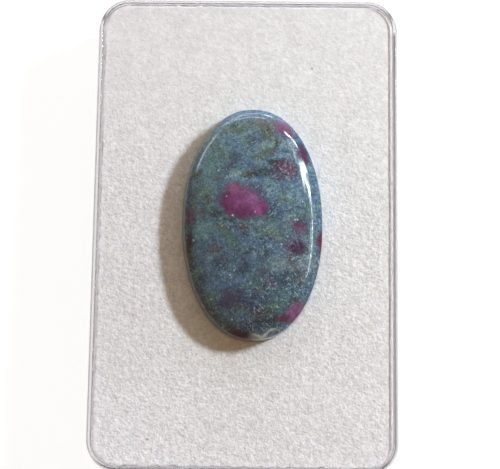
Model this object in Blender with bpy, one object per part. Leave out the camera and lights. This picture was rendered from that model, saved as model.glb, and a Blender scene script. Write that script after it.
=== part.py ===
"""Ruby in kyanite: a polished oval cabochon on a foam pad, in the open base of a clear plastic gem box.

Lengths are in metres. The origin is the centre of the base's underside: +X runs across the box, +Y along
it and +Z up. The foam lies in the base, and the stone lies on the foam, pressed slightly into it.
"""

from math import atan, copysign, cos, hypot, pi, radians, sin, tan

import bmesh
import bpy
from mathutils import Matrix, Vector

MM = 0.001
GAP = 0.3 * MM                      # clearance between pieces that touch
QUARTER = pi / 2

# Box base: a shallow moulded tray. Its rim steps in to a thin lip, and a lid would rest on the ledge.
BOX_WIDTH = 51.6 * MM
BOX_LENGTH = 80.6 * MM
BOX_HEIGHT = 12.0 * MM
BOX_CORNER_RADIUS = 5.4 * MM
WALL = 1.0 * MM
FLOOR = 1.2 * MM
LEDGE_WIDTH = 0.4 * MM
LIP_HEIGHT = 2.0 * MM
RIM_ROUND = 0.15 * MM
FOOT_ROUND = 1.0 * MM
DRAFT = radians(1.0)                # outer walls lean in towards the underside
CORNER_STEPS = 7

# Foam pad: fills the base to just under the rim
FOAM_WIDTH = BOX_WIDTH - 2 * (WALL + GAP)
FOAM_LENGTH = BOX_LENGTH - 2 * (WALL + GAP)
FOAM_CORNER_RADIUS = BOX_CORNER_RADIUS - WALL - GAP
FOAM_BOTTOM = FLOOR + GAP
FOAM_TOP = BOX_HEIGHT - 0.6 * MM
FOAM_ROUND = 0.4 * MM               # rounding of the pad's edges and of the tray's inner corner
FOAM_ROUND_STEPS = 2

# Cabochon: a superellipse outline with a flat back, steep sides, a round shoulder and a low dome
STONE_WIDTH = 23.5 * MM
STONE_LENGTH = 39.1 * MM
STONE_ROUNDNESS = 2.14              # superellipse exponent; 2 is an ellipse
STONE_THICKNESS = 6.1 * MM
STONE_SUNK = 0.4 * MM               # how far it presses into the foam
STONE_CENTRE = Vector((1.2 * MM, 0.9 * MM))
STONE_TURN = radians(1.4)
STONE_BACK = FOAM_TOP - STONE_SUNK
STONE_STEPS = 64
BACK_BEVEL = 0.4 * MM
GIRDLE_HEIGHT = 1.2 * MM            # widest level, above the back
SIDE_TOP = 2.9 * MM
SIDE_LEAN = radians(10)
SHOULDER_REACH = 3.0 * MM           # half-axes of the shoulder's elliptical arc
SHOULDER_RISE = 2.6 * MM
SHOULDER_STEPS = 5
DOME_EDGE_SLOPE = 0.2
DOME_STEPS = 6

# Chip: a shallow scoop that broke out of the stone's lower edge, given in the stone's own frame
CHIP_CENTRE = Vector((3.2, -19.6, 1.9)) * MM
CHIP_HALF_SIZE = Vector((2.3, 1.3, 2.3)) * MM
CHIP_TURN = radians(12)

ROUND_ANGLE = radians(32)           # edges sharper than this stay crisp


def clear_scene():
    for old in list(bpy.data.objects):
        bpy.data.objects.remove(old, do_unlink=True)


def material(name, color, roughness, transmission=0.0, ior=1.5):
    """A Principled material with no metal in it."""
    made = bpy.data.materials.new(name)
    made.use_nodes = True
    shader = made.node_tree.nodes["Principled BSDF"]
    shader.inputs["Base Color"].default_value = (*color, 1.0)
    shader.inputs["Roughness"].default_value = roughness
    shader.inputs["Metallic"].default_value = 0.0
    shader.inputs["Transmission Weight"].default_value = transmission
    shader.inputs["IOR"].default_value = ior
    made.diffuse_color = (*color, 1.0)
    return made


def loft(name, rings, finish, apex=None):
    """A closed body through rings of equal point counts. The first ring gets a flat face, and so does the
    last, unless an apex point closes it with a fan."""
    mesh = bmesh.new()
    loops = [[mesh.verts.new(point) for point in ring] for ring in rings]
    for low, high in zip(loops, loops[1:]):
        for i in range(len(low)):
            j = (i + 1) % len(low)
            mesh.faces.new((low[i], low[j], high[j], high[i]))
    mesh.faces.new(reversed(loops[0]))
    last = mesh.faces.new(loops[-1])
    if apex is not None:
        fan = bmesh.ops.poke(mesh, faces=[last])
        fan["verts"][0].co = apex
    bmesh.ops.recalc_face_normals(mesh, faces=mesh.faces)
    data = bpy.data.meshes.new(name)
    mesh.to_mesh(data)
    mesh.free()
    data.shade_smooth()
    data.set_sharp_from_angle(angle=ROUND_ANGLE)
    data.materials.append(finish)
    body = bpy.data.objects.new(name, data)
    bpy.context.collection.objects.link(body)
    return body


def arc(centre, radius, start, end, steps):
    """Points (inset, height) on an arc of a wall's section, both ends included."""
    angles = [start + (end - start) * i / steps for i in range(steps + 1)]
    return [(centre[0] + radius * cos(a), centre[1] + radius * sin(a)) for a in angles]


def rounded_rectangle(width, length, corner_radius, inset, z):
    """One ring, anticlockwise: a rectangle with round corners, taken in by inset all round."""
    radius = corner_radius - inset
    centre_x = width / 2 - corner_radius
    centre_y = length / 2 - corner_radius
    ring = []
    for corner, (side_x, side_y) in enumerate(((1, 1), (-1, 1), (-1, -1), (1, -1))):
        for step in range(CORNER_STEPS + 1):
            angle = QUARTER * (corner + step / CORNER_STEPS)
            x = side_x * centre_x + radius * cos(angle)
            y = side_y * centre_y + radius * sin(angle)
            ring.append((x, y, z))
    return ring


def oval(inset, z, scale=1.0):
    """One ring of the stone's superellipse in its own frame, moved in along its normals by inset."""
    half_width = STONE_WIDTH / 2
    half_length = STONE_LENGTH / 2
    ring = []
    for i in range(STONE_STEPS):
        angle = 2 * pi * i / STONE_STEPS
        across = copysign(abs(cos(angle)) ** (2 / STONE_ROUNDNESS), cos(angle))
        along = copysign(abs(sin(angle)) ** (2 / STONE_ROUNDNESS), sin(angle))
        normal_x = copysign(abs(across) ** (STONE_ROUNDNESS - 1), across) / half_width
        normal_y = copysign(abs(along) ** (STONE_ROUNDNESS - 1), along) / half_length
        length = hypot(normal_x, normal_y)
        x = half_width * across - inset * normal_x / length
        y = half_length * along - inset * normal_y / length
        ring.append((x * scale, y * scale, z))
    return ring


def stone_to_world():
    place = Matrix.Translation((STONE_CENTRE.x, STONE_CENTRE.y, STONE_BACK))
    return place @ Matrix.Rotation(STONE_TURN, 4, "Z")


def cut(body, cutter):
    """Takes the cutter out of the body, and keeps the cutter as a hidden wire guide."""
    cutter.hide_render = True
    cutter.display_type = "WIRE"
    boolean = body.modifiers.new(cutter.name, "BOOLEAN")
    boolean.operation = "DIFFERENCE"
    boolean.solver = "EXACT"
    boolean.object = cutter


def make_box_base():
    ledge = BOX_HEIGHT - LIP_HEIGHT
    lean = (ledge - FOOT_ROUND) * tan(DRAFT)
    foot = arc((lean + FOOT_ROUND, FOOT_ROUND), FOOT_ROUND, -QUARTER, -2 * QUARTER, 4)
    step = [(0.0, ledge), (LEDGE_WIDTH, ledge)]
    rim_height = BOX_HEIGHT - RIM_ROUND
    rim_outer = arc((LEDGE_WIDTH + RIM_ROUND, rim_height), RIM_ROUND, 2 * QUARTER, QUARTER, 2)
    rim_inner = arc((WALL - RIM_ROUND, rim_height), RIM_ROUND, QUARTER, 0.0, 2)
    inner_corner = (WALL + FOAM_ROUND, FLOOR + FOAM_ROUND)
    inner_foot = arc(inner_corner, FOAM_ROUND, 2 * QUARTER, 3 * QUARTER, FOAM_ROUND_STEPS)
    section = foot + step + rim_outer + rim_inner + inner_foot
    rings = [
        rounded_rectangle(BOX_WIDTH, BOX_LENGTH, BOX_CORNER_RADIUS, inset, z) for inset, z in section
    ]
    clear_plastic = material("clear_plastic", (0.96, 0.97, 0.98), 0.05, transmission=1.0, ior=1.55)
    return loft("box_base", rings, clear_plastic)


def make_foam_pad():
    low = FOAM_BOTTOM + FOAM_ROUND
    high = FOAM_TOP - FOAM_ROUND
    bottom_edge = arc((FOAM_ROUND, low), FOAM_ROUND, -QUARTER, -2 * QUARTER, FOAM_ROUND_STEPS)
    top_edge = arc((FOAM_ROUND, high), FOAM_ROUND, 2 * QUARTER, QUARTER, FOAM_ROUND_STEPS)
    rings = [
        rounded_rectangle(FOAM_WIDTH, FOAM_LENGTH, FOAM_CORNER_RADIUS, inset, z)
        for inset, z in bottom_edge + top_edge
    ]
    white_foam = material("white_foam", (0.80, 0.79, 0.78), 0.95)
    pad = loft("foam_pad", rings, white_foam)
    recess_rings = [oval(-GAP, -GAP), oval(-GAP, STONE_THICKNESS)]
    recess = loft("recess_cutter", recess_rings, white_foam)
    recess.matrix_world = stone_to_world()
    cut(pad, recess)
    return pad


def stone_section():
    """(inset, height) from the edge of the flat back up to the rim of the dome."""
    lean = tan(SIDE_LEAN)
    bevel_inset = (GIRDLE_HEIGHT - BACK_BEVEL) * lean
    side_inset = (SIDE_TOP - GIRDLE_HEIGHT) * lean
    section = [
        (bevel_inset + BACK_BEVEL, 0.0),
        (bevel_inset, BACK_BEVEL),
        (0.0, GIRDLE_HEIGHT),
        (side_inset, SIDE_TOP),
    ]
    first = atan(SHOULDER_RISE / SHOULDER_REACH * lean)
    last = atan(SHOULDER_RISE / SHOULDER_REACH / DOME_EDGE_SLOPE)
    for step in range(1, SHOULDER_STEPS + 1):
        turn = first + (last - first) * step / SHOULDER_STEPS
        inset = side_inset + SHOULDER_REACH * (cos(first) - cos(turn))
        height = SIDE_TOP + SHOULDER_RISE * (sin(turn) - sin(first))
        section.append((inset, height))
    return section


def make_cabochon():
    section = stone_section()
    rings = [oval(inset, z) for inset, z in section]
    rim_inset, rim_height = section[-1]
    dome_rise = STONE_THICKNESS - rim_height
    rim_reach = STONE_WIDTH / 2 - rim_inset
    squareness = (4 * dome_rise - DOME_EDGE_SLOPE * rim_reach) / (2 * dome_rise)
    for step in range(1, DOME_STEPS):
        t = 1 - step / DOME_STEPS
        z = STONE_THICKNESS - dome_rise * (squareness * t ** 2 + (1 - squareness) * t ** 4)
        rings.append(oval(rim_inset, z, scale=t))
    ruby_kyanite = material("ruby_kyanite", (0.09, 0.15, 0.17), 0.18)
    stone = loft("cabochon", rings, ruby_kyanite, apex=(0.0, 0.0, STONE_THICKNESS))
    stone.matrix_world = stone_to_world()
    cut(stone, make_chip_cutter(ruby_kyanite))
    return stone


def make_chip_cutter(finish):
    mesh = bmesh.new()
    place = Matrix.Translation(CHIP_CENTRE) @ Matrix.Rotation(CHIP_TURN, 4, "Z")
    size = Matrix.Diagonal((*CHIP_HALF_SIZE, 1.0))
    bmesh.ops.create_uvsphere(mesh, u_segments=20, v_segments=10, radius=1.0, matrix=place @ size)
    data = bpy.data.meshes.new("chip_cutter")
    mesh.to_mesh(data)
    mesh.free()
    data.shade_smooth()
    data.materials.append(finish)
    cutter = bpy.data.objects.new("chip_cutter", data)
    bpy.context.collection.objects.link(cutter)
    cutter.matrix_world = stone_to_world()
    return cutter


clear_scene()
make_box_base()
make_foam_pad()
make_cabochon()
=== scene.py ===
"""Looks for a ruby in kyanite cabochon that lies on a foam pad, in the open base of a clear plastic gem box.

Lengths are in metres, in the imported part's own frame: +X across the box, +Y along it, +Z up. The stone's
markings are placed in millimetres, in the stone's own frame.
"""

from collections import namedtuple
from math import atan, cos, pi, radians, sin, tan

import bmesh
import bpy
import numpy as np
from mathutils import Euler, Matrix, Vector, noise


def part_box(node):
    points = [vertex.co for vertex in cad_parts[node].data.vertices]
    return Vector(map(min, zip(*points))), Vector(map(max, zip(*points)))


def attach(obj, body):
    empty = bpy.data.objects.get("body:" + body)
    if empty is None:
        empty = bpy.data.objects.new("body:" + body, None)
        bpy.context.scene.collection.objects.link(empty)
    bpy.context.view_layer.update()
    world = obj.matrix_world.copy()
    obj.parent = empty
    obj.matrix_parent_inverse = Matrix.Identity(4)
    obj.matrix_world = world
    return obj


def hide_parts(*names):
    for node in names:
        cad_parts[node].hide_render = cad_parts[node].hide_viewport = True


MM = 0.001
QUARTER = pi / 2

# Where things are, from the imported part
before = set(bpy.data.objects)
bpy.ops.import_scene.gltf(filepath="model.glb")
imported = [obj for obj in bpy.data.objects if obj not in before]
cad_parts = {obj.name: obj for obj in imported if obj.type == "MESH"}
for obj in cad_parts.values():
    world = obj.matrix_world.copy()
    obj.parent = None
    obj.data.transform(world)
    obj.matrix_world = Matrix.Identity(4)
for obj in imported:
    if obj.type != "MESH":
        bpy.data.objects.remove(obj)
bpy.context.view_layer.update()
BOX_LOW, BOX_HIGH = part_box("box_base")
FOAM_LOW, FOAM_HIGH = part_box("foam_pad")
STONE_LOW, STONE_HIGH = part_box("cabochon")
FOAM_TOP = FOAM_HIGH.z

# Camera: a phone held above the near end of the box, tilted a little
CAMERA_PLACE = Vector((4.15 * MM, -29.1 * MM, FOAM_TOP + 199.5 * MM))
CAMERA_TURN = Euler((radians(8.13), radians(0.83), radians(0.79)))
CAMERA_LENS = 86.4

# Lights, all facing the stone: azimuth anticlockwise from +X, elevation, width and height, power, colour,
# and whether it lights matt surfaces or is seen in reflections
LIGHT_DISTANCE = 0.6
PANELS = {
    "key": (26, 34.6, (0.12, 0.05), 3.66, (0.83, 0.92, 1.0), "matt"),
    "key_shine": (24.5, 39.5, (0.05, 0.035), 0.5, (0.90, 0.95, 1.0), "shiny"),
    "key_middle": (29.5, 42, (0.045, 0.08), 0.28, (0.90, 0.95, 1.0), "shiny"),
    "key_top": (31.5, 46, (0.038, 0.19), 0.45, (0.90, 0.95, 1.0), "shiny"),
    "key_line": (8, 39.5, (0.28, 0.016), 0.24, (0.88, 0.96, 1.0), "shiny"),
    "key_halo": (8, 39, (0.20, 0.10), 0.05, (0.80, 0.92, 1.0), "shiny"),
    "key_fork": (7, 46, (0.07, 0.022), 0.03, (0.88, 0.96, 1.0), "shiny"),
    "key_streak": (50.5, 30.5, (0.055, 0.065), 0.25, (1.0, 0.93, 1.0), "shiny"),
    "key_streak_tail": (44.5, 32, (0.07, 0.07), 0.30, (0.94, 0.97, 1.0), "shiny"),
    "key_shade": (38, 43, (0.13, 0.13), 0.035, (0.74, 0.72, 1.0), "shiny"),
    "window": (78, 23, (1.0, 0.28), 1.8, (0.77, 0.87, 0.99), "matt"),
    "low_fill": (285, 25, (0.3, 0.3), 0.14, (0.45, 0.35, 1.0), "matt"),
    "window_glow": (94, 3, (1.0, 0.30), 1.2, (0.54, 0.66, 1.0), "shiny"),
    "window_haze": (94, 26, (1.0, 0.22), 0.22, (0.80, 0.84, 1.0), "shiny"),
    "window_bar": (110, 15, (0.32, 0.028), 0.17, (0.78, 0.92, 1.0), "shiny"),
    "window_foot_bar": (86, 6, (0.24, 0.028), 0.11, (0.74, 0.86, 1.0), "shiny"),
    "window_glint": (75.5, 8, (0.10, 0.03), 0.13, (0.80, 0.93, 1.0), "shiny"),
    "window_top_bar": (98, 26, (0.40, 0.02), 0.21, (0.90, 0.97, 1.0), "shiny"),
    "window_left": (143, 20, (0.20, 0.09), 0.18, (0.74, 0.90, 1.0), "shiny"),
}
AMBIENT_COLOR = (1.0, 0.72, 0.38)
AMBIENT_STRENGTH = 0.275
FLOOR_GLOW = 0.92
FLOOR_COLOR = (0.15, 0.15, 0.15)
BACKDROP_GLOW = 0.97
BACKDROP_RADIUS = 2.0

# Box base
BOX_CORNER_RADIUS = 5.4 * MM
WALL = 1.0 * MM
FLOOR = 1.2 * MM
LEDGE_WIDTH = 0.4 * MM
LIP_HEIGHT = 2.0 * MM
RIM_ROUND = 0.15 * MM
FOOT_ROUND = 1.0 * MM
DRAFT = radians(1.0)
INNER_ROUND = 0.4 * MM
CORNER_STEPS = 24

# Foam pad
FOAM_GAP = 0.04 * MM                # between the foam and the box
FOAM_PITCH = 0.26 * MM              # spacing of the mesh on the pad's top
FOAM_EDGE_ROUND = 0.28 * MM
FOAM_SWELL = 0.05 * MM              # slow unevenness of the cut face
FOAM_SWELL_SIZE = 7.0 * MM
FOAM_GRAIN = 0.022 * MM
FOAM_GRAIN_SIZE = 0.55 * MM
FOAM_FRAY = 0.24 * MM               # how ragged the pad's cut edges are
FOAM_FRAY_SIZE = 0.9 * MM
IMPRINT_WIDTH = 0.40 * MM           # how far the foam takes to rise under the stone's edge
IMPRINT_START = 0.5 * MM            # where that rise starts, inside the stone's outline
FOAM_GAP_SHADE_DEPTH = 0.75 * MM         # of the painted shade: a dark line below the pad's top edge, where the gap to the box's wall is in shade

# Cabochon, as the part has it
STONE_WIDTH = 23.5 * MM
STONE_LENGTH = 39.1 * MM
STONE_ROUNDNESS = 2.14
STONE_THICKNESS = STONE_HIGH.z - STONE_LOW.z
STONE_CENTRE = Vector((1.2 * MM, 0.9 * MM, STONE_LOW.z))
STONE_TURN = radians(1.4)
BACK_BEVEL = 0.4 * MM
GIRDLE_HEIGHT = 1.2 * MM
SIDE_TOP = 3.5 * MM
SIDE_LEAN = radians(8)
EDGE_ROUND = 0.3 * MM               # where the side turns into the shoulder
SHOULDER_TILT = radians(47)         # of the shoulder beside that edge
SHOULDER_REACH = 4.84 * MM
SHOULDER_RISE = 4.2 * MM
DOME_EDGE_SLOPE = 0.2
STONE_STEPS = 360

# Marks of the hand that cut and polished it; azimuths are of the outline's normal, anticlockwise from +X
UNEVEN = 0.24 * MM                  # how much further in the shoulder starts, on the side of this azimuth
UNEVEN_AZIMUTH = radians(165)
WORN = 0.28 * MM                    # how far the outline is cut back near this azimuth
WORN_AZIMUTH = radians(141)
WORN_SPREAD = radians(17)
RIPPLE = 0.035 * MM
RIPPLE_SIZE = 3.2 * MM
FINE_RIPPLE = 0.006 * MM
FINE_RIPPLE_SIZE = 0.9 * MM
FLAT_AZIMUTHS = (20, 26, 32)
FLAT_TILT = 22
FLAT_DEPTH = 0.035 * MM
BRIGHT_FLAT_DEPTH = 0.020 * MM
FLAT_CURVE = 0.06                   # what the flats keep of the shoulder's curvature
CHIP_CENTRE = Vector((3.75, -21.1, 6.7)) * MM
CHIP_SIZE = Vector((4.8, 4.2, 4.0)) * MM
CHIP_TURN = radians(15)
CHIP_RIDGES = 0.004                 # share of the chip's size
CHIP_RIDGES_SIZE = 0.12

SMOOTH_ANGLE = radians(32)


def srgb(red, green, blue):
    """A colour given as 0-255 screen values, as linear light."""
    shares = [channel / 255 for channel in (red, green, blue)]
    return tuple(s / 12.92 if s <= 0.04045 else ((s + 0.055) / 1.055) ** 2.4 for s in shares)


# ---------------------------------------------------------------- camera, light and floor


def make_camera():
    data = bpy.data.cameras.new("camera")
    data.lens = CAMERA_LENS
    data.sensor_width = 36.0
    data.clip_start = 0.01
    data.clip_end = 10.0
    camera = bpy.data.objects.new("camera", data)
    camera.location = CAMERA_PLACE
    camera.rotation_euler = CAMERA_TURN
    bpy.context.scene.collection.objects.link(camera)
    bpy.context.scene.camera = camera


def direction(azimuth, elevation):
    """A unit vector; azimuth is anticlockwise from +X."""
    return Vector((cos(azimuth) * cos(elevation), sin(azimuth) * cos(elevation), sin(elevation)))


def make_panel(name, azimuth, elevation, size, power, color, surfaces):
    """A rectangular light that faces the stone; its angles are in degrees."""
    data = bpy.data.lights.new(name, "AREA")
    data.shape = "RECTANGLE"
    data.size, data.size_y = size
    data.energy = power
    data.color = color
    panel = bpy.data.objects.new(name, data)
    out = direction(radians(azimuth), radians(elevation))
    panel.location = Vector((0, 0, FOAM_TOP)) + out * LIGHT_DISTANCE
    panel.rotation_euler = out.to_track_quat("Z", "Y").to_euler()
    panel.visible_diffuse = surfaces == "matt"
    panel.visible_glossy = surfaces == "shiny"
    bpy.context.scene.collection.objects.link(panel)


def make_world():
    world = bpy.data.worlds.new("room")
    world.use_nodes = True
    background = world.node_tree.nodes["Background"]
    background.inputs["Color"].default_value = (*AMBIENT_COLOR, 1.0)
    background.inputs["Strength"].default_value = AMBIENT_STRENGTH
    bpy.context.scene.world = world
    bpy.context.scene.view_settings.view_transform = "Standard"


def glow_material(name, color, glow):
    made = bpy.data.materials.new(name)
    made.use_nodes = True
    shader = made.node_tree.nodes["Principled BSDF"]
    shader.inputs["Base Color"].default_value = (*color, 1.0)
    shader.inputs["Roughness"].default_value = 0.9
    shader.inputs["Specular IOR Level"].default_value = 0.1
    shader.inputs["Emission Color"].default_value = (1.0, 1.0, 1.0, 1.0)
    shader.inputs["Emission Strength"].default_value = glow
    return made


def make_stage():
    """A pale floor, and a pale backdrop that only the camera and clear plastic see."""
    mesh = bmesh.new()
    bmesh.ops.create_circle(mesh, cap_ends=True, segments=96, radius=BACKDROP_RADIUS)
    floor = add_object("floor", mesh, glow_material("floor", FLOOR_COLOR, FLOOR_GLOW))
    mesh = bmesh.new()
    bmesh.ops.create_uvsphere(mesh, u_segments=64, v_segments=32, radius=BACKDROP_RADIUS)
    backdrop = add_object("backdrop", mesh, glow_material("backdrop", (0, 0, 0), BACKDROP_GLOW))
    backdrop.data = in_fixed_order(backdrop.data, turned=True)
    floor.visible_glossy = False
    backdrop.visible_diffuse = False
    backdrop.visible_glossy = False
    backdrop.visible_shadow = False


# ---------------------------------------------------------------- meshes


def add_object(name, mesh, finish):
    data = bpy.data.meshes.new(name)
    mesh.to_mesh(data)
    mesh.free()
    data.materials.append(finish)
    made = bpy.data.objects.new(name, data)
    bpy.context.scene.collection.objects.link(made)
    return made


def bridge(mesh, loops):
    for low, high in zip(loops, loops[1:]):
        for i in range(len(low)):
            j = (i + 1) % len(low)
            mesh.faces.new((low[i], low[j], high[j], high[i]))


def loft(rings):
    """A closed mesh through rings of equal point counts, with a flat face at each end."""
    mesh = bmesh.new()
    loops = [[mesh.verts.new(point) for point in ring] for ring in rings]
    bridge(mesh, loops)
    mesh.faces.new(reversed(loops[0]))
    mesh.faces.new(loops[-1])
    bmesh.ops.recalc_face_normals(mesh, faces=mesh.faces)
    return mesh


def arc(centre, radius, start, end, steps):
    angles = [start + (end - start) * i / steps for i in range(steps + 1)]
    return [(centre[0] + radius * cos(a), centre[1] + radius * sin(a)) for a in angles]


def rounded_rectangle(half_width, half_length, corner_radius, inset, z, steps=CORNER_STEPS):
    radius = corner_radius - inset
    ring = []
    for corner, (side_x, side_y) in enumerate(((1, 1), (-1, 1), (-1, -1), (1, -1))):
        for step in range(steps + 1):
            angle = QUARTER * (corner + step / steps)
            x = side_x * (half_width - corner_radius) + radius * cos(angle)
            y = side_y * (half_length - corner_radius) + radius * sin(angle)
            ring.append((x, y, z))
    return ring


# ---------------------------------------------------------------- box base


def make_box_base(finish):
    ledge = BOX_HIGH.z - LIP_HEIGHT
    rim = BOX_HIGH.z - RIM_ROUND
    lean = (ledge - FOOT_ROUND) * tan(DRAFT)
    foot = arc((lean + FOOT_ROUND, FOOT_ROUND), FOOT_ROUND, -QUARTER, -2 * QUARTER, 10)
    step = [(0.0, ledge - 0.5 * RIM_ROUND), (0.5 * RIM_ROUND, ledge), (LEDGE_WIDTH, ledge)]
    rim_outer = arc((LEDGE_WIDTH + RIM_ROUND, rim), RIM_ROUND, 2 * QUARTER, QUARTER, 5)
    rim_inner = arc((WALL - RIM_ROUND, rim), RIM_ROUND, QUARTER, 0.0, 5)
    corner = (WALL + INNER_ROUND, FLOOR + INNER_ROUND)
    inner_foot = arc(corner, INNER_ROUND, 2 * QUARTER, 3 * QUARTER, 6)
    rings = [
        rounded_rectangle(BOX_HIGH.x, BOX_HIGH.y, BOX_CORNER_RADIUS, inset, z)
        for inset, z in foot + step + rim_outer + rim_inner + inner_foot
    ]
    base = add_object("box_base_clear", loft(rings), finish)
    base.data.shade_smooth()
    base.data.set_sharp_from_angle(angle=SMOOTH_ANGLE)
    flats = base.modifiers.new("flats", "WEIGHTED_NORMAL")
    flats.keep_sharp = True
    return base


# ---------------------------------------------------------------- cabochon


def oval(inset, scale=1.0, uneven=0.0):
    """Points of the stone's outline in its own frame, moved in along its normals by inset."""
    angle = np.arange(STONE_STEPS) * 2 * pi / STONE_STEPS
    across = np.sign(np.cos(angle)) * np.abs(np.cos(angle)) ** (2 / STONE_ROUNDNESS)
    along = np.sign(np.sin(angle)) * np.abs(np.sin(angle)) ** (2 / STONE_ROUNDNESS)
    normal_x = np.sign(across) * np.abs(across) ** (STONE_ROUNDNESS - 1) / (STONE_WIDTH / 2)
    normal_y = np.sign(along) * np.abs(along) ** (STONE_ROUNDNESS - 1) / (STONE_LENGTH / 2)
    length = np.hypot(normal_x, normal_y)
    azimuth = np.arctan2(normal_y, normal_x)
    worn = WORN * np.exp(-((azimuth - WORN_AZIMUTH) / WORN_SPREAD) ** 2)
    inset = inset + worn + uneven * np.cos(azimuth - UNEVEN_AZIMUTH)
    x = STONE_WIDTH / 2 * across - inset * normal_x / length
    y = STONE_LENGTH / 2 * along - inset * normal_y / length
    return x * scale, y * scale


def stone_section():
    """(inset, height, scale) of the stone's rings, from the edge of its back to near the dome's crown."""
    lean = tan(SIDE_LEAN)
    section = []
    for share in np.linspace(0, 1, 5):
        z = BACK_BEVEL * share
        section.append(((GIRDLE_HEIGHT - BACK_BEVEL) * lean + BACK_BEVEL - z, z, 1.0))
    for z in np.linspace(BACK_BEVEL, SIDE_TOP, 12)[1:]:
        section.append((abs(z - GIRDLE_HEIGHT) * lean, z, 1.0))
    side_inset = section[-1][0]
    steep = QUARTER - SIDE_LEAN
    for tilt in np.linspace(steep, SHOULDER_TILT, 7)[1:]:
        inset = side_inset + EDGE_ROUND * (sin(steep) - sin(tilt))
        section.append((inset, SIDE_TOP + EDGE_ROUND * (cos(tilt) - cos(steep)), 1.0))
    edge_inset, edge_height, _ = section[-1]
    first = atan(SHOULDER_RISE / SHOULDER_REACH / tan(SHOULDER_TILT))
    last = atan(SHOULDER_RISE / SHOULDER_REACH / DOME_EDGE_SLOPE)
    for turn in np.linspace(first, last, 22)[1:]:
        inset = edge_inset + SHOULDER_REACH * (cos(first) - cos(turn))
        section.append((inset, edge_height + SHOULDER_RISE * (sin(turn) - sin(first)), 1.0))
    rim_inset, rim_height, _ = section[-1]
    rise = STONE_THICKNESS - rim_height
    reach = STONE_WIDTH / 2 - rim_inset
    squareness = (4 * rise - DOME_EDGE_SLOPE * reach) / (2 * rise)
    for t in np.linspace(1, 0, 42)[1:-1]:
        z = STONE_THICKNESS - rise * (squareness * t ** 2 + (1 - squareness) * t ** 4)
        section.append((rim_inset, z, t))
    return section


def ripple(point, size, seed):
    """Smooth noise from -1 to 1 that varies over about size."""
    return noise.noise(Vector(point) / size + Vector((seed, 0, 0)))


def stone_mesh():
    mesh = bmesh.new()
    loops = []
    for inset, z, scale in stone_section():
        climb = min(max((z - GIRDLE_HEIGHT) / (SIDE_TOP - GIRDLE_HEIGHT), 0.0), 1.0)
        calm = min(max((STONE_THICKNESS - z) / (STONE_THICKNESS - SIDE_TOP), 0.0), 1.0)
        xs, ys = oval(inset, scale, UNEVEN * climb * calm)
        edge = oval(0.0)
        loop = []
        for x, y, edge_x, edge_y in zip(xs, ys, *edge):
            wave = RIPPLE * ripple((edge_x, edge_y, z), RIPPLE_SIZE, 5.3) * scale
            wave += FINE_RIPPLE * ripple((edge_x, edge_y, z), FINE_RIPPLE_SIZE, 8.1) * scale
            pull = 1 - wave / (STONE_WIDTH / 2)
            loop.append(mesh.verts.new((x * pull, y * pull, z)))
        loops.append(loop)
    bridge(mesh, loops)
    mesh.faces.new(reversed(loops[0]))
    crown = bmesh.ops.poke(mesh, faces=[mesh.faces.new(loops[-1])])
    crown["verts"][0].co = (0, 0, STONE_THICKNESS)
    bmesh.ops.recalc_face_normals(mesh, faces=mesh.faces)
    return mesh


def make_cabochon(finish):
    stone = add_object("cabochon_polished", stone_mesh(), finish)
    cut_chip(stone, make_chip_cutter(finish))
    stone.data.transform(Matrix.Translation(STONE_CENTRE) @ Matrix.Rotation(STONE_TURN, 4, "Z"))
    for azimuth in FLAT_AZIMUTHS:
        flatten(stone.data, direction(radians(azimuth), radians(90 - FLAT_TILT)), FLAT_DEPTH)
    key_azimuth, key_elevation = PANELS["key_shine"][:2]
    to_key = direction(radians(key_azimuth), radians(key_elevation))
    to_camera = (CAMERA_PLACE - STONE_CENTRE).normalized()
    flatten(stone.data, (to_key + to_camera).normalized(), BRIGHT_FLAT_DEPTH)
    stone.data.shade_smooth()
    stone.data.set_sharp_from_angle(angle=SMOOTH_ANGLE)
    return stone


def cut_chip(stone, cutter):
    chip = stone.modifiers.new("chip", "BOOLEAN")
    chip.operation = "DIFFERENCE"
    chip.solver = "EXACT"
    chip.object = cutter
    evaluated = stone.evaluated_get(bpy.context.evaluated_depsgraph_get())
    chipped = bpy.data.meshes.new_from_object(evaluated)
    stone.modifiers.clear()
    stone.data = in_fixed_order(chipped)
    bpy.data.objects.remove(cutter)


def in_fixed_order(mesh, turned=False):
    """The same mesh with its points and faces sorted, because Blender's spheres come in no fixed order.

    With turned, each face also starts at the lowest of its points.
    """
    points = [tuple(vertex.co) for vertex in mesh.vertices]
    order = sorted(range(len(points)), key=lambda i: points[i])
    rank = {old: new for new, old in enumerate(order)}
    faces = [tuple(rank[i] for i in polygon.vertices) for polygon in mesh.polygons]
    if turned:
        starts = [face.index(min(face)) for face in faces]
        faces = [face[start:] + face[:start] for face, start in zip(faces, starts)]
    made = bpy.data.meshes.new(mesh.name)
    made.from_pydata([points[i] for i in order], [], sorted(faces))
    made.materials.append(mesh.materials[0])
    return made


def flatten(mesh, normal, depth):
    """Polishes a small flat that faces along normal, this deep at its middle."""
    limit = max(vertex.co.dot(normal) for vertex in mesh.vertices) - depth
    for vertex in mesh.vertices:
        over = vertex.co.dot(normal) - limit
        if over > 0:
            vertex.co -= normal * over * (1 - FLAT_CURVE)


def make_chip_cutter(finish):
    """The rounded hollow that the chip left, with faint ridges across it."""
    mesh = bmesh.new()
    bmesh.ops.create_uvsphere(mesh, u_segments=96, v_segments=64, radius=1.0)
    for vertex in mesh.verts:
        vertex.co *= 1 + CHIP_RIDGES * ripple(vertex.co, CHIP_RIDGES_SIZE, 2.0)
    turn = Matrix.Rotation(CHIP_TURN, 4, "Z")
    mesh.transform(Matrix.Translation(CHIP_CENTRE) @ turn @ Matrix.Diagonal((*CHIP_SIZE, 1)))
    return add_object("chip_cutter", mesh, finish)


# ---------------------------------------------------------------- foam pad


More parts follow.
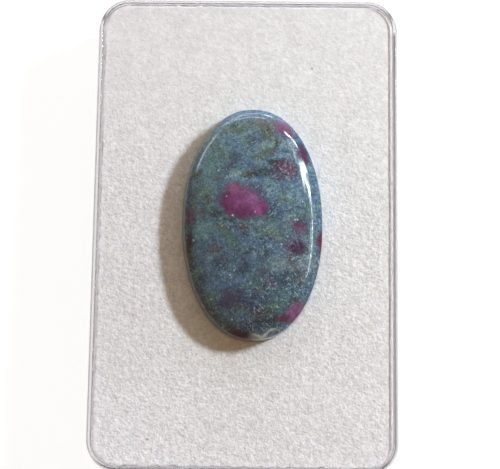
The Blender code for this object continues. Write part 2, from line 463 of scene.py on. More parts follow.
def outside_stone(x, y):
    """About how far a point of the box lies outside the stone's outline; negative under the stone."""
    dx, dy = x - STONE_CENTRE.x, y - STONE_CENTRE.y
    u = (dx * cos(STONE_TURN) + dy * sin(STONE_TURN)) / (STONE_WIDTH / 2)
    v = (dy * cos(STONE_TURN) - dx * sin(STONE_TURN)) / (STONE_LENGTH / 2)
    level = (abs(u) ** STONE_ROUNDNESS + abs(v) ** STONE_ROUNDNESS) ** (1 / STONE_ROUNDNESS)
    if level < 0.5:
        return -STONE_WIDTH / 4
    pull = level ** (1 - STONE_ROUNDNESS)
    slope_x = pull * abs(u) ** (STONE_ROUNDNESS - 1) / (STONE_WIDTH / 2)
    slope_y = pull * abs(v) ** (STONE_ROUNDNESS - 1) / (STONE_LENGTH / 2)
    return (level - 1) / (slope_x ** 2 + slope_y ** 2) ** 0.5


def foam_height(x, y):
    """The pad's top: uneven and grainy, and pressed down under the stone."""
    swell = FOAM_SWELL * ripple((x, y, 0), FOAM_SWELL_SIZE, 1.7)
    grain = FOAM_GRAIN * ripple((x, y, 0), FOAM_GRAIN_SIZE, 9.1)
    share = min(max((outside_stone(x, y) + IMPRINT_START) / IMPRINT_WIDTH, 0.0), 1.0)
    share = share * share * (3 - 2 * share)
    free = FOAM_TOP + swell + grain - FOAM_SWELL
    pressed = STONE_LOW.z - 0.05 * MM
    return pressed + (free - pressed) * share


def disc_corner(x, y, half_width, half_length, radius):
    """Moves a point of a rectangle's grid so that the grid fills a rectangle with round corners."""
    over_x = abs(x) - (half_width - radius)
    over_y = abs(y) - (half_length - radius)
    if over_x <= 0 or over_y <= 0:
        return x, y
    far = max(over_x, over_y)
    turn = pi / 4 * over_y / over_x if over_x >= over_y else QUARTER - pi / 4 * over_x / over_y
    new_x = half_width - radius + far * cos(turn)
    new_y = half_length - radius + far * sin(turn)
    return (new_x if x > 0 else -new_x), (new_y if y > 0 else -new_y)


def make_foam_top(mesh, half_width, half_length, radius):
    """The grid of the pad's top, and the loop of points along its edge."""
    columns = round(2 * half_width / FOAM_PITCH)
    rows = round(2 * half_length / FOAM_PITCH)
    grid = []
    for i in range(columns + 1):
        line = []
        for j in range(rows + 1):
            flat_x = -half_width + 2 * half_width * i / columns
            flat_y = -half_length + 2 * half_length * j / rows
            x, y = disc_corner(flat_x, flat_y, half_width, half_length, radius)
            line.append(mesh.verts.new((x, y, foam_height(x, y))))
        grid.append(line)
    for i in range(columns):
        for j in range(rows):
            mesh.faces.new((grid[i][j], grid[i + 1][j], grid[i + 1][j + 1], grid[i][j + 1]))
    edge = [grid[i][0] for i in range(columns)] + [grid[columns][j] for j in range(rows)]
    edge += [grid[i][rows] for i in range(columns, 0, -1)] + [grid[0][j] for j in range(rows, 0, -1)]
    return edge


def frayed(x, y, z):
    """How far the pad's cut side stands out at a point; mostly inwards."""
    coarse = FOAM_FRAY * (ripple((x, y, z), FOAM_FRAY_SIZE, 4.4) - 0.6)
    return coarse + 0.5 * FOAM_FRAY * (ripple((x, y, z), 0.35 * FOAM_FRAY_SIZE, 6.6) - 0.6)


def make_foam_pad(finish):
    inset = WALL + FOAM_GAP + FOAM_EDGE_ROUND
    top = (BOX_HIGH.x - inset, BOX_HIGH.y - inset, BOX_CORNER_RADIUS - inset)
    mesh = bmesh.new()
    edge = make_foam_top(mesh, *top)
    loops = [edge]
    bottom = BOX_LOW.z + FLOOR + FOAM_GAP
    for out, drop in foam_side(FOAM_TOP - bottom):
        loop = []
        for vertex in edge:
            outward = foam_outward(vertex.co, *top)
            x, y = vertex.co.x + outward.x * out, vertex.co.y + outward.y * out
            z = vertex.co.z - drop
            fray = frayed(x, y, z) * out / FOAM_EDGE_ROUND
            point = Vector((x + outward.x * fray, y + outward.y * fray, max(z, bottom)))
            loop.append(mesh.verts.new(point))
        loops.append(loop)
    bridge(mesh, loops)
    mesh.faces.new(loops[-1])
    bmesh.ops.recalc_face_normals(mesh, faces=mesh.faces)
    pad = add_object("foam_pad_soft", mesh, finish)
    pad.data.shade_smooth()
    return pad


def foam_side(height):
    """(how far out, how far down) of the rings from the top's edge, round it and down to the bottom."""
    rings = []
    for turn in np.linspace(0, QUARTER, 5)[1:]:
        rings.append((FOAM_EDGE_ROUND * sin(turn), FOAM_EDGE_ROUND * (1 - cos(turn))))
    for drop in np.linspace(FOAM_EDGE_ROUND, height, 15)[1:]:
        rings.append((FOAM_EDGE_ROUND, drop))
    rings[-1] = (FOAM_EDGE_ROUND, height + FOAM_EDGE_ROUND)
    return rings


def foam_outward(point, half_width, half_length, radius):
    over_x = abs(point.x) - (half_width - radius)
    over_y = abs(point.y) - (half_length - radius)
    out = Vector((max(over_x, 0.0), max(over_y, 0.0)))
    out.x = out.x if point.x > 0 else -out.x
    out.y = out.y if point.y > 0 else -out.y
    return out.normalized()


# ---------------------------------------------------------------- materials


class Tree:
    """Short calls that add linked nodes to a new material. An input is a value or another node's output."""

    def __init__(self, name):
        self.material = bpy.data.materials.new(name)
        self.material.use_nodes = True
        self.tree = self.material.node_tree
        self.shader = self.tree.nodes["Principled BSDF"]

    def add(self, kind, inputs, **settings):
        node = self.tree.nodes.new("ShaderNode" + kind)
        for key, value in settings.items():
            setattr(node, key, value)
        for key, value in inputs.items():
            self.feed(node.inputs[key], value)
        return node

    def feed(self, socket, value):
        if isinstance(value, bpy.types.NodeSocket):
            self.tree.links.new(value, socket)
        elif socket.type == "RGBA":
            socket.default_value = (*value, 1.0)
        else:
            socket.default_value = value

    def noise(self, where, scale, detail=2.0, roughness=0.5, output="Fac", seed=0.0):
        inputs = {"Vector": where, "Scale": scale, "Detail": detail, "Roughness": roughness, "W": seed}
        return self.add("TexNoise", inputs, noise_dimensions="4D").outputs[output]

    def voronoi(self, where, scale, output="Distance", feature="F1"):
        inputs = {"Vector": where, "Scale": scale}
        return self.add("TexVoronoi", inputs, feature=feature).outputs[output]

    def math(self, operation, a, b=0.0, clamp=False):
        inputs = {0: a, 1: b}
        return self.add("Math", inputs, operation=operation, use_clamp=clamp).outputs[0]

    def shift(self, operation, a, b):
        return self.add("VectorMath", {0: a, 1: b}, operation=operation).outputs[0]

    def span(self, value, low, high, to_low=0.0, to_high=1.0):
        """value's stretch from low to high, as a smooth rise from to_low to to_high."""
        inputs = {"Value": value, "From Min": low, "From Max": high, "To Min": to_low, "To Max": to_high}
        return self.add("MapRange", inputs, interpolation_type="SMOOTHSTEP").outputs[0]

    def grey(self, value):
        return self.add("CombineColor", {0: value, 1: value, 2: value}).outputs[0]

    def tint(self, colour, factor):
        """The colour times a number."""
        return self.mix(1.0, colour, self.grey(factor), "MULTIPLY")

    def scale(self, vector, factor):
        return self.add("VectorMath", {0: vector, "Scale": factor}, operation="SCALE").outputs[0]

    def dot(self, vector, other):
        return self.add("VectorMath", {0: vector, 1: other}, operation="DOT_PRODUCT").outputs["Value"]

    def length(self, vector):
        return self.add("VectorMath", {0: vector}, operation="LENGTH").outputs["Value"]

    def mix(self, share, a, b, blend="MIX"):
        inputs = {0: share, 6: a, 7: b}
        return self.add("Mix", inputs, data_type="RGBA", blend_type=blend).outputs[2]

    def bump(self, height, distance, strength=1.0, normal=None):
        inputs = {"Height": height, "Distance": distance, "Strength": strength}
        if normal is not None:
            inputs["Normal"] = normal
        return self.add("Bump", inputs).outputs[0]

    def finish(self, **inputs):
        for key, value in inputs.items():
            self.feed(self.shader.inputs[key.replace("_", " ")], value)
        return self.material


def box_plastic():
    tree = Tree("clear_plastic")
    where = tree.add("TexCoord", {}).outputs["Object"]
    scuffs = tree.noise(where, 900.0, 3.0)
    return tree.finish(
        Base_Color=(0.94, 0.91, 0.92),
        Roughness=0.05,
        IOR=1.5,
        Transmission_Weight=0.90,
        Normal=tree.bump(scuffs, 0.004 * MM, 0.4),
    )


# Bits of dirt on the foam: x, y and radius in millimetres
FOAM_SPECKS = ((11.1, 28.2, 0.22), (7.7, -20.0, 0.20), (-15.6, -34.8, 0.22), (-2.6, 24.0, 0.15))


def foam_finish():
    tree = Tree("white_foam")
    where = tree.add("TexCoord", {}).outputs["Object"]
    cells = tree.voronoi(where, 1 / (0.42 * MM))
    fine = tree.noise(where, 1 / (0.30 * MM), 3.0, 0.6)
    blotches = tree.noise(where, 1 / (2.2 * MM), 2.0)
    tints = tree.noise(where, 1 / (0.9 * MM), 2.0, output="Color")
    white = tree.mix(tree.span(blotches, 0.3, 0.7), (0.83, 0.82, 0.82), (0.90, 0.89, 0.885))
    tinted = tree.mix(0.30, white, tints, "OVERLAY")
    pits = tree.span(fine, 0.30, 0.70, 0.91, 1.07)
    clumps = tree.noise(where, 1 / (0.75 * MM), 2.0, 0.6, seed=3.0)
    tinted = tree.tint(tinted, tree.span(clumps, 0.3, 0.7, 0.90, 1.09))
    # painted shade: small dark dots that stand in for the shade inside the foam's pits
    pit_shade = tree.voronoi(tree.shift("ADD", where, (3.1 * MM, 0.0, 0.0)), 1 / (1.2 * MM))
    tinted = tree.tint(tinted, tree.span(pit_shade, 0.10, 0.24, 0.86, 1.0))
    parts = tree.add("SeparateXYZ", {0: where}).outputs
    lively = tree.span(parts[1], 36 * MM, 2 * MM, 0.55, 1.0)     # the far end is smoother
    tinted = tree.mix(lively, white, tree.tint(tinted, pits))
    # painted shade: a dark band just below the pad's top edge, standing in for the shade in the gap between
    # the pad and the box's wall
    gap_shade = tree.math("ABSOLUTE", tree.math("SUBTRACT", parts[2], FOAM_TOP - FOAM_GAP_SHADE_DEPTH))
    tinted = tree.tint(tinted, tree.span(gap_shade, 0.25 * MM, 0.6 * MM, 0.45, 1.0))
    # painted light: paler and cooler towards the near left corner, as if a cool light came in there through
    # the box's wall
    left = tree.span(parts[0], 0.0, -20 * MM)
    near = tree.span(parts[1], -16 * MM, -36 * MM)
    painted_light_cast = tree.mix(left, (1.0, 0.995, 1.0), (1.0, 0.98, 1.01))
    painted_light_cast = tree.mix(near, painted_light_cast, tree.mix(left, (1.02, 1.01, 1.04), (1.09, 1.08, 1.14)))
    colour = tree.mix(1.0, tinted, painted_light_cast, "MULTIPLY")
    for x, y, radius in FOAM_SPECKS:
        away = tree.length(tree.shift("SUBTRACT", where, (x * MM, y * MM, FOAM_TOP)))
        shown = tree.span(away, 1.4 * radius * MM, 0.5 * radius * MM, 0.0, 0.6)
        colour = tree.mix(shown, colour, srgb(120, 110, 100))
    lumps = tree.noise(where, 1 / (0.75 * MM), 3.0, 0.6, seed=7.0)
    rough = tree.bump(fine, 0.12 * MM, tree.math("MULTIPLY", lively, 0.5))
    rough = tree.bump(cells, 0.10 * MM, tree.math("MULTIPLY", lively, 0.4), rough)
    rough = tree.bump(lumps, 0.35 * MM, tree.math("MULTIPLY", lively, 0.5), rough)
    return tree.finish(
        Base_Color=colour,
        Roughness=0.95,
        Specular_IOR_Level=0.2,
        Normal=rough,
    )


# ---------------------------------------------------------------- the stone's colours

RUBY = srgb(128, 70, 122)
RUBY_PALE = srgb(146, 100, 142)
RUBY_DEEP = srgb(98, 46, 90)
RUBY_DULL = srgb(112, 76, 106)
GARNET = srgb(86, 44, 74)
ROSE = srgb(132, 84, 104)
WINE = srgb(56, 24, 62)
PLUM = srgb(90, 60, 84)
DUSK = srgb(60, 57, 80)                # blue-purple
NAVY = srgb(50, 66, 90)
BLACK = srgb(40, 44, 52)
STEEL = srgb(78, 106, 134)
SKY = srgb(112, 142, 164)
TEAL = srgb(92, 126, 130)
MIST = srgb(132, 154, 156)
JADE = srgb(74, 106, 92)
OLIVE = srgb(74, 78, 56)
MOSS = srgb(94, 108, 92)
UMBER = srgb(80, 70, 68)
SHALE = srgb(62, 66, 62)
ASH = srgb(106, 106, 106)
FROST = srgb(196, 208, 212)
STRAW = srgb(158, 160, 154)
CHALK = srgb(192, 202, 198)

Mark = namedtuple("Mark", "colour x y half_x half_y turn soft strength")

# Centres and half sizes in millimetres in the stone's own frame, turns in degrees; broad zones come first
MARKS = (
    # slow changes of brightness
    Mark(MIST, -6.4, 11.8, 2.9, 3.8, 0, 0.8, 0.32),
    Mark(MIST, -1.8, 15.6, 3.6, 1.7, 8, 0.8, 0.32),
    Mark(NAVY, 4.4, -6.0, 3.0, 4.6, -10, 0.9, 0.22),
    Mark(NAVY, -1.2, -14.6, 3.2, 2.2, 0, 0.8, 0.7),
    Mark(NAVY, 5.6, -10.8, 3.6, 4.2, 0, 0.9, 0.62),
    Mark(STEEL, -5.5, -10.5, 3.6, 3.0, 0, 0.9, 0.35),
    Mark(SKY, -7.6, -12.2, 1.4, 3.0, 25, 0.9, 0.20),
    Mark(BLACK, -2.0, -14.0, 2.4, 1.5, 0, 0.9, 0.22),
    Mark(BLACK, 4.2, -4.2, 1.6, 1.6, 0, 0.9, 0.16),
    Mark(BLACK, -3.0, 12.0, 1.8, 1.4, 0, 0.9, 0.16),
    Mark(SKY, 0.2, -7.8, 1.4, 1.4, 0, 0.9, 0.22),
    Mark(MIST, -6.6, -6.2, 1.4, 1.5, 0, 0.9, 0.20),
    Mark(MIST, -0.4, 0.0, 2.0, 1.2, 0, 0.9, 0.25),
    # upper part
    Mark(JADE, -5.8, 11.2, 1.4, 1.7, 0, 0.6, 0.5),
    Mark(TEAL, -6.8, 9.2, 2.0, 1.7, 0, 0.6, 0.85),
    # painted highlight: a pale band with a bright bit on the upper left shoulder
    Mark(MIST, -7.4, 12.0, 0.7, 1.6, -25, 0.6, 0.6),
    Mark(SKY, -8.3, 10.2, 0.9, 2.2, -25, 0.7, 0.75),
    Mark(STEEL, -3.2, 13.4, 1.5, 1.0, 0, 0.6, 0.5),
    Mark(DUSK, 0.6, 13.5, 1.4, 0.9, 0, 0.7, 0.55),
    Mark(NAVY, -2.7, 10.4, 1.0, 1.4, 10, 0.6, 0.75),
    Mark(DUSK, -3.5, 9.0, 1.0, 0.7, 0, 0.6, 0.7),
    Mark(MIST, 2.6, 12.8, 1.5, 0.9, 20, 0.6, 0.6),
    Mark(MIST, 5.9, 12.6, 1.3, 0.9, -30, 0.7, 0.6),
    Mark(MOSS, -2.4, 15.5, 1.9, 0.6, 12, 0.5, 0.8),
    Mark(OLIVE, 2.3, 14.4, 1.1, 0.5, -25, 0.8, 0.9),
    Mark(OLIVE, 4.2, 13.2, 0.9, 0.5, -50, 0.8, 0.85),
    Mark(OLIVE, 4.0, 12.3, 0.9, 0.45, 50, 0.8, 0.8),
    Mark(OLIVE, 2.4, 11.3, 1.0, 0.4, 22, 0.8, 0.75),
    Mark(MOSS, 1.3, 10.4, 1.3, 0.7, 30, 0.7, 0.8),
    Mark(MOSS, 2.6, 15.5, 2.2, 0.9, -18, 0.7, 0.7),
    Mark(MOSS, -0.6, 16.6, 2.4, 0.7, 2, 0.7, 0.3),
    Mark(ASH, 3.4, 16.3, 2.4, 1.1, -24, 0.7, 0.65),
    Mark(UMBER, 3.0, 15.4, 1.2, 0.6, -20, 0.7, 0.4),
    # between the top and the large ruby
    Mark(OLIVE, -5.1, 7.5, 0.8, 0.35, 15, 0.6, 0.8),
    Mark(OLIVE, -8.9, 7.7, 0.8, 0.5, 0, 0.6, 0.8),
    Mark(BLACK, 1.9, 8.1, 2.6, 0.75, 8, 0.6, 0.75),
    Mark(UMBER, -0.2, 7.7, 0.8, 0.6, 0, 0.6, 0.7),
    Mark(DUSK, 4.6, 7.4, 1.6, 0.8, -20, 0.7, 0.6),
    Mark(MIST, -2.9, 7.65, 1.6, 0.26, 4, 0.6, 0.9),
    Mark(BLACK, 4.2, 9.9, 1.0, 0.6, 0, 0.6, 0.7),
    Mark(SKY, 6.9, 5.3, 1.5, 1.7, 0, 0.8, 0.40),
    # partly the stone's pale blue, partly painted haze beside the highlight
    Mark(SKY, 8.3, 7.2, 0.8, 2.2, 14, 0.8, 0.15),
    Mark(STEEL, 10.2, 4.6, 0.7, 2.4, 10, 0.6, 0.8),
    Mark(MOSS, 5.4, 3.7, 1.2, 0.7, 0, 0.7, 0.5),
    # left of the large ruby
    Mark(MOSS, -8.0, 4.4, 1.7, 2.3, 0, 0.7, 0.4),
    Mark(OLIVE, -7.4, 3.7, 0.7, 0.6, 0, 0.7, 0.6),
    Mark(JADE, -6.9, 2.3, 1.0, 0.8, 0, 0.6, 0.5),
    Mark(BLACK, -6.2, 1.3, 1.4, 0.5, 0, 0.6, 0.65),
    Mark(TEAL, -8.0, -1.2, 2.0, 1.9, 0, 0.6, 0.8),
    Mark(NAVY, -10.3, -0.8, 0.8, 1.6, 0, 0.7, 0.6),
    Mark(DUSK, -7.2, 0.8, 1.8, 1.0, 0, 0.8, 0.35),
    # middle
    Mark(NAVY, 3.3, 1.6, 1.6, 1.3, 20, 0.8, 0.45),
    Mark(BLACK, -3.8, 0.4, 0.8, 0.5, 0, 0.6, 0.6),
    Mark(UMBER, 2.4, 0.3, 0.5, 0.5, 0, 0.6, 0.6),
    Mark(UMBER, -1.2, -1.2, 1.0, 0.7, 0, 0.7, 0.65),
    Mark(MOSS, -4.8, -0.8, 0.9, 0.6, 0, 0.7, 0.7),
    Mark(JADE, -3.6, -2.6, 1.2, 1.0, 0, 0.7, 0.45),
    Mark(MOSS, 3.6, -2.1, 1.8, 1.0, 0, 0.7, 0.55),
    Mark(STEEL, 0.8, -3.7, 2.4, 1.2, 0, 0.7, 0.75),
    Mark(STEEL, 4.6, -4.9, 1.4, 0.9, 0, 0.7, 0.6),
    Mark(NAVY, -0.4, -5.1, 0.8, 0.4, 0, 0.6, 0.7),
    Mark(BLACK, 2.4, -5.4, 0.5, 0.6, 0, 0.6, 0.6),
    Mark(UMBER, -6.4, -4.8, 1.2, 0.6, 15, 0.6, 0.75),
    # painted shade: a dark strip along the left rim, which faces away from the light
    Mark(SHALE, -10.5, -5.2, 0.42, 2.6, 8, 0.6, 0.75),
    Mark(NAVY, -5.2, -7.0, 1.3, 1.1, 0, 0.7, 0.75),
    Mark(PLUM, -4.8, -6.1, 0.5, 0.6, 0, 0.7, 0.5),
    Mark(NAVY, -1.5, -7.7, 1.2, 1.1, 0, 0.6, 0.8),
    Mark(MIST, 4.6, -7.1, 1.7, 1.4, 0, 0.8, 0.55),
    Mark(UMBER, 6.3, -6.2, 0.6, 0.5, 0, 0.5, 0.85),
    Mark(ASH, 7.3, -7.6, 1.1, 0.8, 0, 0.7, 0.7),
    Mark(MIST, 8.8, -6.7, 1.4, 1.1, 0, 0.7, 0.50),
    Mark(ASH, 8.2, -9.6, 0.9, 0.8, 0, 0.7, 0.7),
    Mark(STEEL, 9.6, -9.0, 0.9, 1.4, -10, 0.7, 0.4),
    Mark(ASH, 10.6, -7.2, 0.9, 2.4, -12, 0.7, 0.25),
    Mark(MIST, 6.0, -0.4, 0.9, 1.3, 0, 0.7, 0.5),
    # lower part
    Mark(STEEL, -1.7, -9.8, 1.7, 0.8, 0, 0.8, 0.45),
    Mark(UMBER, 1.9, -8.7, 0.7, 0.5, -30, 0.6, 0.75),
    Mark(PLUM, 3.3, -10.3, 0.9, 0.5, -15, 0.6, 0.8),
    Mark(NAVY, 2.6, -11.4, 0.9, 0.6, 0, 0.7, 0.6),
    Mark(DUSK, -7.7, -9.3, 0.7, 0.8, 0, 0.7, 0.7),
    # painted shade: a dark strip along the lower left rim, which faces away from the light
    Mark(SHALE, -9.4, -10.4, 0.35, 2.6, 22, 0.6, 0.4),
    Mark(JADE, -6.6, -12.6, 1.0, 1.0, 0, 0.7, 0.6),
    # painted shade: a dark strip along the lower left rim, which faces away from the light
    Mark(SHALE, -7.2, -14.4, 0.4, 2.4, 36, 0.6, 0.4),
    Mark(DUSK, -3.8, -12.7, 2.0, 1.4, 0, 0.5, 0.9),
    Mark(NAVY, -1.7, -13.2, 1.2, 0.7, 0, 0.6, 0.6),
    Mark(UMBER, 0.8, -11.4, 1.0, 0.35, -8, 0.6, 0.6),
    Mark(TEAL, 5.0, -11.9, 2.3, 1.3, 0, 0.7, 0.35),
    Mark(STEEL, 8.6, -12.0, 0.9, 2.0, -25, 0.7, 0.35),
    Mark(JADE, 3.5, -14.2, 1.7, 0.9, 10, 0.7, 0.75),
    Mark(SHALE, 7.1, -12.9, 0.9, 0.3, 15, 0.6, 0.8),
    Mark(SHALE, -2.0, -14.2, 1.2, 0.4, 12, 0.6, 0.75),
    Mark(TEAL, -2.2, -15.3, 2.2, 0.7, 0, 0.7, 0.3),
    Mark(DUSK, 1.2, -15.0, 1.7, 1.1, 0, 0.7, 0.6),
    Mark(UMBER, 1.3, -15.2, 1.5, 0.8, 0, 0.7, 0.55),
    Mark(BLACK, 2.3, -16.4, 2.2, 0.7, 10, 0.7, 0.85),
    Mark(DUSK, -2.2, -17.3, 2.2, 0.8, -8, 0.6, 0.75),
    Mark(NAVY, 3.0, -17.2, 1.6, 0.5, 12, 0.6, 0.7),
    Mark(STEEL, 5.2, -17.4, 0.8, 0.6, 30, 0.6, 0.6),
    # dull rubies that the grain runs over
    Mark(BLACK, 4.0, 9.6, 1.6, 0.9, -20, 0.7, 0.75),
    Mark(PLUM, 5.7, 8.7, 1.9, 1.6, -20, 0.5, 0.85),
    Mark(RUBY_DULL, 6.1, 8.6, 1.1, 1.1, 0, 0.7, 0.6),
    Mark(DUSK, 7.6, -0.9, 1.6, 1.5, 0, 0.6, 0.7),
    Mark(PLUM, 7.2, -4.3, 1.8, 1.4, 0, 0.6, 0.7),
)

RUBIES = (
    Mark(DUSK, -1.4, 3.0, 4.4, 2.9, -14, 0.35, 0.6),
    Mark(RUBY_DULL, -2.8, 5.2, 1.35, 1.3, 0, 0.45, 0.95),
    Mark(RUBY_PALE, -2.9, 5.4, 0.9, 0.7, 0, 0.6, 0.5),
    Mark(RUBY_DEEP, -3.1, 3.1, 1.9, 1.8, 0, 0.4, 1.0),
    Mark(RUBY, -1.2, 3.4, 2.3, 1.9, -10, 0.5, 0.9),
    Mark(RUBY, 0.95, 2.3, 1.65, 1.3, -20, 0.35, 1.0),
    Mark(RUBY_DEEP, -1.8, 1.3, 2.0, 0.9, -5, 0.5, 0.95),
    Mark(RUBY_DEEP, 2.2, 2.1, 0.6, 0.9, 0, 0.6, 0.7),
    Mark(RUBY_PALE, -0.4, 4.2, 1.1, 0.5, -25, 0.8, 0.5),
    Mark(RUBY_PALE, 0.6, 3.1, 0.7, 0.35, 20, 0.8, 0.6),
    Mark(RUBY_DULL, 5.7, 15.4, 1.9, 1.15, -46, 0.5, 0.95),
    Mark(RUBY, 5.4, 15.1, 1.0, 0.5, -46, 0.8, 0.35),
    Mark(DUSK, 8.5, 11.5, 0.9, 1.9, 24, 0.5, 0.9),
    Mark(GARNET, 8.8, 10.9, 0.55, 1.3, 24, 0.6, 0.75),
    Mark(RUBY_DEEP, -10.1, 1.1, 0.8, 1.4, 0, 0.6, 0.65),
    Mark(PLUM, -8.7, 1.7, 1.0, 0.5, 0, 0.7, 0.4),
    Mark(WINE, -10.2, -3.2, 0.6, 1.6, 0, 0.5, 0.8),
    Mark(RUBY_DULL, 7.9, -1.3, 1.0, 1.1, 15, 0.7, 0.6),
    Mark(RUBY_DEEP, 7.6, -0.7, 0.8, 0.6, 15, 0.7, 0.6),
    Mark(WINE, 7.2, -4.5, 1.3, 0.9, 10, 0.6, 0.7),
    Mark(GARNET, 11.5, -3.6, 0.75, 1.9, -4, 0.5, 1.0),
    Mark(RUBY_DULL, 7.1, -14.9, 1.9, 1.15, 48, 0.45, 1.0),
    Mark(RUBY, 6.9, -15.2, 1.3, 0.7, 48, 0.7, 0.35),
    Mark(GARNET, 5.0, -16.0, 1.2, 0.7, 10, 0.5, 0.9),
    Mark(DUSK, -3.7, -12.7, 1.4, 0.9, 0, 0.6, 0.7),
    Mark(ROSE, -2.0, -19.4, 2.8, 0.6, -8, 0.5, 0.8),
    Mark(WINE, -2.0, -18.6, 2.2, 0.65, -14, 0.5, 0.95),
)

CHIP_RIM = (
    Mark(STRAW, 0.7, -18.95, 1.2, 0.5, -4, 0.7, 0.7),
    Mark(CHALK, 0.4, -18.6, 0.5, 0.12, -15, 0.8, 0.6),
    Mark(CHALK, 1.15, -18.9, 0.5, 0.2, -30, 0.8, 0.75),
    Mark(CHALK, 1.8, -18.75, 0.65, 0.13, 42, 0.8, 0.75),
    Mark(CHALK, 2.6, -18.05, 0.55, 0.11, 36, 0.8, 0.75),
    Mark(CHALK, 3.3, -17.7, 0.4, 0.14, 10, 0.8, 0.75),
    Mark(STRAW, 4.2, -17.9, 0.6, 0.16, -24, 0.8, 0.6),
)

# A painted highlight: a thin pale line where the upper edge of a narrow flat beside the highlight catches
# the light
FACET_EDGE_HIGHLIGHT = Mark(FROST, 7.27, 10.8, 1.5, 0.12, -77, 0.7, 0.5)

# Painted glints: small crystal faces that catch the light, painted as pale spots; x, y and radius
GLINTS = (
    (-5.4, 8.5, 0.13), (-2.1, 13.2, 0.10), (-6.3, 14.2, 0.13), (-3.1, 0.9, 0.16), (-4.1, 4.1, 0.10),
    (0.6, 1.4, 0.10), (4.8, -3.9, 0.13), (9.7, -5.9, 0.14), (-3.6, -8.9, 0.13), (-9.6, -3.0, 0.12),
    (-8.3, 10.6, 0.12), (7.1, 0.1, 0.14), (7.5, 0.15, 0.13), (8.4, 3.1, 0.12), (-3.4, -16.1, 0.12),
    (2.5, -1.4, 0.09), (-4.9, -0.8, 0.09), (-6.8, -12.8, 0.11),
)


def stone_place(tree):
    """The point in millimetres, in the stone's own frame."""
    inputs = {
        "Vector": tree.add("TexCoord", {}).outputs["Object"],
        "Location": STONE_CENTRE,
        "Rotation": (0.0, 0.0, STONE_TURN),
        "Scale": (MM, MM, MM),
    }
    return tree.add("Mapping", inputs, vector_type="TEXTURE").outputs[0]


def kyanite_ground(tree, place):
    """The blue-grey to teal ground that the marks lie on, with painted light: paler towards the upper right,
    where the light comes from, and darker towards the lower left.
    """
    zones = tree.noise(place, 0.30, 3.0, 0.6)
    greens = tree.noise(place, 0.35, 3.0, 0.6, seed=31.0)
    greys = tree.noise(place, 0.8, 3.0, 0.6, seed=47.0)
    colour = tree.mix(tree.span(zones, 0.35, 0.65), srgb(70, 94, 121), srgb(92, 119, 138))
    colour = tree.mix(tree.span(greens, 0.48, 0.68), colour, srgb(88, 119, 119))
    colour = tree.mix(tree.span(greys, 0.5, 0.75, 0.0, 0.6), colour, srgb(62, 76, 94))
    across = tree.add("SeparateXYZ", {0: place}).outputs
    # painted light: the ground is brightened towards the upper right, the side that faces the lamps
    painted_light_slope = tree.math("ADD", across[1], tree.math("MULTIPLY", across[0], 0.12))
    return tree.tint(colour, tree.span(painted_light_slope, -20.0, 20.0, 0.67, 1.32))


def mark_mask(tree, place, mark):
    """How much of a mark shows: an ellipse with a soft edge, on coordinates that may be bent."""
    c, s = cos(radians(mark.turn)), sin(radians(mark.turn))
    along = tree.dot(place, (c / mark.half_x, s / mark.half_x, 0.0))
    across = tree.dot(place, (-s / mark.half_y, c / mark.half_y, 0.0))
    point = tree.add("CombineXYZ", {0: along, 1: across}).outputs[0]
    middle = ((mark.x * c + mark.y * s) / mark.half_x, (mark.y * c - mark.x * s) / mark.half_y, 0.0)
    reach = tree.add("VectorMath", {0: point, 1: middle}, operation="DISTANCE").outputs["Value"]
    return tree.span(reach, 1 + mark.soft, 1 - mark.soft, 0.0, mark.strength)


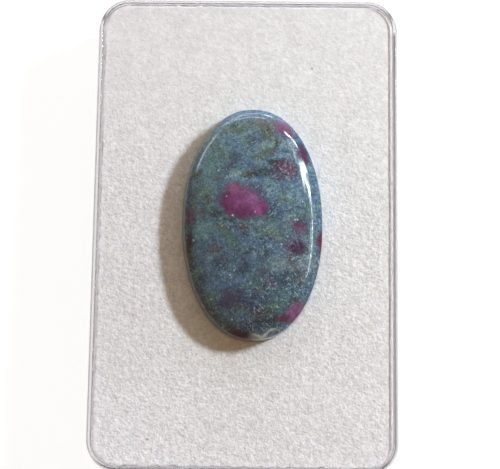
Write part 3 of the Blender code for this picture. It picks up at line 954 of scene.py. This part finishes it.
def stone_finish():
    tree = Tree("ruby_kyanite")
    place = stone_place(tree)
    wander = tree.noise(place, 0.5, 5.0, 0.68, output="Color")
    wander = tree.shift("SUBTRACT", wander, (0.5, 0.5, 0.5))
    speckle = tree.noise(place, 2.6, 2.0, 0.6, output="Color", seed=15.0)
    speckle = tree.scale(tree.shift("SUBTRACT", speckle, (0.5, 0.5, 0.5)), 1.5)
    loose = tree.shift("ADD", place, tree.scale(speckle, 0.5))
    bent = tree.shift("ADD", tree.shift("ADD", place, tree.scale(wander, 3.0)), speckle)
    ruby_bent = tree.shift("ADD", tree.shift("ADD", place, tree.scale(wander, 2.0)), speckle)
    colour = kyanite_ground(tree, place)
    for mark in MARKS:
        colour = tree.mix(mark_mask(tree, bent, mark), colour, mark.colour)

    # grain: cells of slightly different brightness, cloudy noise, then dark and pale flakes
    crisp = tree.add("SeparateColor", {0: tree.voronoi(bent, 2.8, "Color")}).outputs[0]
    cloud = tree.noise(place, 1.1, 4.0, 0.7)
    fine = tree.noise(place, 3.4, 3.0, 0.7, seed=12.0)
    colour = tree.tint(colour, tree.span(crisp, 0.0, 1.0, 0.80, 1.20))
    colour = tree.tint(colour, tree.span(cloud, 0.3, 0.7, 0.80, 1.22))
    colour = tree.tint(colour, tree.span(fine, 0.34, 0.66, 0.66, 1.36))
    sideways = tree.math("MULTIPLY", tree.add("SeparateXYZ", {0: place}).outputs[0], 0.018)
    busy = tree.math("ADD", tree.noise(place, 0.26, 3.0, seed=60.0), sideways)
    busy = tree.span(busy, 0.34, 0.60)
    shards = tree.noise(place, 2.3, 3.0, 0.75, seed=21.0)
    dark = tree.math("MULTIPLY", tree.span(shards, 0.44, 0.34), tree.span(busy, 0.0, 1.0, 0.35, 0.85))
    colour = tree.mix(dark, colour, BLACK)
    pale_colour = tree.mix(cloud, srgb(130, 164, 178), srgb(164, 188, 198))
    shares = tree.noise(place, 0.45, 2.0, seed=90.0)
    down = tree.math("MULTIPLY", splinters(tree, place, -48, 33.0), tree.span(shares, 0.56, 0.44))
    up = tree.math("MULTIPLY", splinters(tree, place, 42, 34.0), tree.span(shares, 0.44, 0.56))
    pale = tree.math("MULTIPLY", tree.math("ADD", down, up), tree.span(busy, 0.0, 1.0, 0.30, 0.85))
    colour = tree.mix(pale, colour, pale_colour)

    colour = specks(tree, loose, 3.4, busy, colour, srgb(178, 198, 206))
    colour = specks(tree, tree.shift("ADD", loose, (3.3, 7.7, 1.1)), 2.6, busy, colour, BLACK)

    # rubies lie over the grain, and have a clouded grain of their own
    ruby_cloud = tree.noise(place, 1.3, 5.0, 0.75, seed=5.0)
    ruby_tone = tree.grey(tree.span(ruby_cloud, 0.32, 0.68, 0.66, 1.40))
    for ruby in RUBIES:
        tone = tree.mix(1.0, ruby.colour, ruby_tone, "MULTIPLY")
        colour = tree.mix(mark_mask(tree, ruby_bent, ruby), colour, tone)
    sparks = tree.noise(place, 3.0, 2.0, 0.6, seed=77.0)
    colour = tree.mix(tree.span(sparks, 0.66, 0.78, 0.0, 0.6), colour, srgb(176, 180, 190))
    # painted glints: pale spots where small crystal faces catch the light
    for x, y, radius in GLINTS:
        glint = Mark(FROST, x, y, radius, radius, 0, 0.5, 0.85)
        colour = tree.mix(mark_mask(tree, place, glint), colour, FROST)

    # painted highlight along the upper edge of the flat
    colour = tree.mix(mark_mask(tree, loose, FACET_EDGE_HIGHLIGHT), colour, FACET_EDGE_HIGHLIGHT.colour)
    colour, chipped = chip_look(tree, place, loose, colour)
    rough = tree.span(tree.noise(place, 0.7, 3.0), 0.3, 0.7, 0.05, 0.11)
    rough = tree.math("ADD", rough, tree.math("MULTIPLY", chipped, 0.4))
    pits = tree.math("ADD", tree.noise(place, 2.4, 3.0), tree.math("MULTIPLY", dark, -0.6))
    return tree.finish(Base_Color=colour, Roughness=rough, IOR=1.7, Normal=tree.bump(pits, 0.016 * MM, 0.35))


def splinters(tree, place, turn, seed):
    """A mask of thin crystals that lie along one direction, given in degrees."""
    inputs = {"Vector": place, "Rotation": (0.0, 0.0, radians(turn)), "Scale": (2.4, 1.0, 1.0)}
    slanted = tree.add("Mapping", inputs, vector_type="TEXTURE").outputs[0]
    return tree.span(tree.noise(slanted, 3.4, 2.0, 0.7, seed=seed), 0.54, 0.68)


def specks(tree, place, density, busy, colour, speck_colour):
    """Small crystals of one colour, this many to a millimetre before most are left out."""
    cells = tree.add("TexVoronoi", {"Vector": place, "Scale": density}).outputs
    chosen = tree.add("SeparateColor", {0: cells["Color"]}).outputs[0]
    chosen = tree.math("MULTIPLY", tree.span(chosen, 0.76, 0.84), tree.span(busy, 0.0, 1.0, 0.35, 0.9))
    shown = tree.math("MULTIPLY", tree.span(cells["Distance"], 0.34, 0.16), chosen)
    return tree.mix(shown, colour, speck_colour)


def chip_look(tree, place, loose, colour):
    """Colour inside the chip and along its pale, splintered rim, and a mask of the unpolished hollow."""
    inputs = {
        "Vector": place,
        "Location": CHIP_CENTRE / MM,
        "Rotation": (0.0, 0.0, CHIP_TURN),
        "Scale": CHIP_SIZE / MM,
    }
    reach = tree.add("Mapping", inputs, vector_type="TEXTURE").outputs[0]
    inside = tree.span(tree.length(reach), 1.013, 1.007)
    patches = tree.span(tree.noise(place, 1.1, 3.0), 0.42, 0.58)
    hollow = tree.mix(patches, srgb(72, 94, 112), srgb(116, 132, 140))
    colour = tree.mix(inside, colour, hollow)
    rimmed = colour
    for mark in CHIP_RIM:
        rimmed = tree.mix(mark_mask(tree, loose, mark), rimmed, mark.colour)
    height = tree.add("SeparateXYZ", {0: place}).outputs[2]
    return tree.mix(tree.span(height, 2.4, 3.2), colour, rimmed), inside


# ---------------------------------------------------------------- the scene

make_camera()
make_world()
for panel_name, panel_values in PANELS.items():
    make_panel(panel_name, *panel_values)
make_stage()

PIECES = (
    (make_box_base(box_plastic()), "box_base", "clear_plastic"),
    (make_foam_pad(foam_finish()), "foam_pad", "white_foam"),
    (make_cabochon(stone_finish()), "cabochon", "ruby_kyanite"),
)
for piece, node, slot in PIECES:
    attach(piece, "root")
    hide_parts(node)
